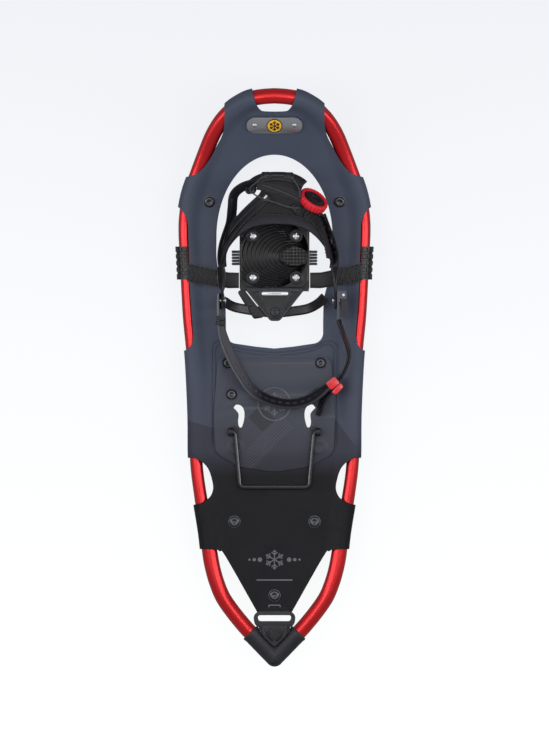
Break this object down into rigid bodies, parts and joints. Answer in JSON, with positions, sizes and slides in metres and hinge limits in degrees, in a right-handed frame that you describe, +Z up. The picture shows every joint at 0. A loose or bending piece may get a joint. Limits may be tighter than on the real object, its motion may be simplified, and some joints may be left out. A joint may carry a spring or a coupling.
{
  "type": "snowshoe",
  "caption": "Snowshoe with a bent tube frame, wrapped sheet deck, pivoting toe binding with a lace dial and heel strap, claws underneath and a wire heel lift.",
  "frame": {"origin": "on the ground under the centre of the shoe's plan: the claw points stand on Z = 0 and X = 0 is the centre line", "axes": "+X to the wearer's right, +Y towards the toe, +Z up"},
  "size_m": [0.2094, 0.6132, 0.1012],
  "materials": {
    "red_anodised": "red anodised, satin gloss",
    "deck_sheet": "slate grey coated sheet fading to black at the tail, fine matte texture",
    "cap_plastic": "black moulded plastic",
    "rivet_black": "black painted rivet",
    "heel_pad": "dark grey moulded pad with a hatch and an embossed round crest",
    "crampon_steel": "dark coated steel",
    "badge_silver": "brushed silver plate with a yellow disc",
    "bail_wire": "black coated wire",
    "clip_plastic": "black moulded plastic",
    "strap_rubber": "moulded rubber with a raised pattern",
    "binding_plastic": "black moulded plastic, soft sheen",
    "pad_rubber": "black rubber with off-centre oval grooves",
    "screw_steel": "bright steel",
    "heel_strap_rubber": "black rubber strap",
    "clip_red": "red moulded plastic",
    "dial_red": "red ribbed rubber ring",
    "dial_black": "black moulded plastic",
    "lace_cord": "grey-black coated cord",
    "buckle_grey": "grey painted metal"
  },
  "bodies": {
    "frame": {"frame_tube": "red_anodised", "deck": "deck_sheet", "tail_cap": "cap_plastic", "tail_link": "cap_plastic", "heel_plate": "heel_pad", "heel_crampon": "crampon_steel", "toe_badge": "badge_silver", "badge_rivet_left": "badge_silver", "badge_rivet_right": "badge_silver", "bail_clip_left": "clip_plastic", "bail_clip_right": "clip_plastic", "strap_anchor_left": "strap_rubber", "strap_anchor_right": "strap_rubber", "deck_rivet_front_left": "rivet_black", "deck_rivet_front_right": "rivet_black", "heel_rivet_front_left": "rivet_black", "heel_rivet_front_right": "rivet_black", "heel_rivet_rear_left": "rivet_black", "heel_rivet_rear_right": "rivet_black", "deck_rivet_tail_left": "rivet_black", "deck_rivet_tail_right": "rivet_black", "deck_rivet_tip": "rivet_black"},
    "heel_lift": {"heel_lift_bail": "bail_wire"},
    "binding": {"binding_chassis": "binding_plastic", "foot_pad": "pad_rubber", "binding_tongue": "binding_plastic", "tongue_rivet": "rivet_black", "rear_cradle": "binding_plastic", "toe_wrap": "binding_plastic", "toe_crampon": "crampon_steel", "strap_end_left": "strap_rubber", "strap_end_right": "strap_rubber", "wing_left": "binding_plastic", "wing_right": "binding_plastic", "pivot_rivet_left": "screw_steel", "pivot_rivet_right": "screw_steel", "pad_screw_front_left": "screw_steel", "pad_screw_front_right": "screw_steel", "pad_screw_rear_left": "screw_steel", "pad_screw_rear_right": "screw_steel", "dial_base": "dial_black", "lace": "lace_cord", "lace_guide_1": "dial_black", "lace_guide_2": "dial_black", "lace_guide_3": "dial_black", "lace_guide_4": "dial_black"},
    "heel_strap_set": {"heel_strap": "heel_strap_rubber", "ladder_strap": "heel_strap_rubber", "strap_tail": "heel_strap_rubber", "strap_clip": "clip_red", "clip_button": "clip_red", "strap_keeper": "heel_strap_rubber", "side_buckle": "buckle_grey", "buckle_pin": "screw_steel"},
    "buckle_lever_body": {"buckle_lever": "dial_black"},
    "dial_core": {"dial_cap": "dial_black"},
    "dial_grip": {"dial_ring": "dial_red"},
    "lace_spool": {"dial_spool": "binding_plastic"}
  },
  "joints": [
    {"name": "binding_pivot", "type": "hinge", "parent": "frame", "child": "binding", "pos_m": [0, 0.104, 0.0486], "axis": [-1, 0, 0], "range_deg": [0, 12], "stiffness_Nm_per_rad": 2},
    {"name": "heel_lift_pivot", "type": "hinge", "parent": "frame", "child": "heel_lift", "pos_m": [0, -0.057, 0.0466], "axis": [-1, 0, 0], "range_deg": [0, 100]},
    {"name": "heel_strap_pivot", "type": "hinge", "parent": "binding", "child": "heel_strap_set", "pos_m": [0, 0.082, 0.066], "axis": [-1, 0, 0], "range_deg": [0, 60]},
    {"name": "buckle_lever_pivot", "type": "hinge", "parent": "heel_strap_set", "child": "buckle_lever_body", "pos_m": [0.073, 0.088, 0.066], "axis": [0, 0, 1], "range_deg": [0, 60]},
    {"name": "dial_pop", "type": "slide", "parent": "binding", "child": "dial_core", "axis": [0.4843, 0.718, 0.5], "range_m": [0, 0.003]},
    {"name": "dial_turn", "type": "hinge", "parent": "dial_core", "child": "dial_grip", "pos_m": [0.0407, 0.1877, 0.0805], "axis": [0.4843, 0.718, 0.5], "continuous": true},
    {"name": "spool_turn", "type": "hinge", "parent": "binding", "child": "lace_spool", "pos_m": [0.0407, 0.1877, 0.0805], "axis": [0.4843, 0.718, 0.5], "continuous": true}
  ],
  "couplings": [
    {"joint": "spool_turn", "follows": "dial_turn", "ratio": 1}
  ]
}
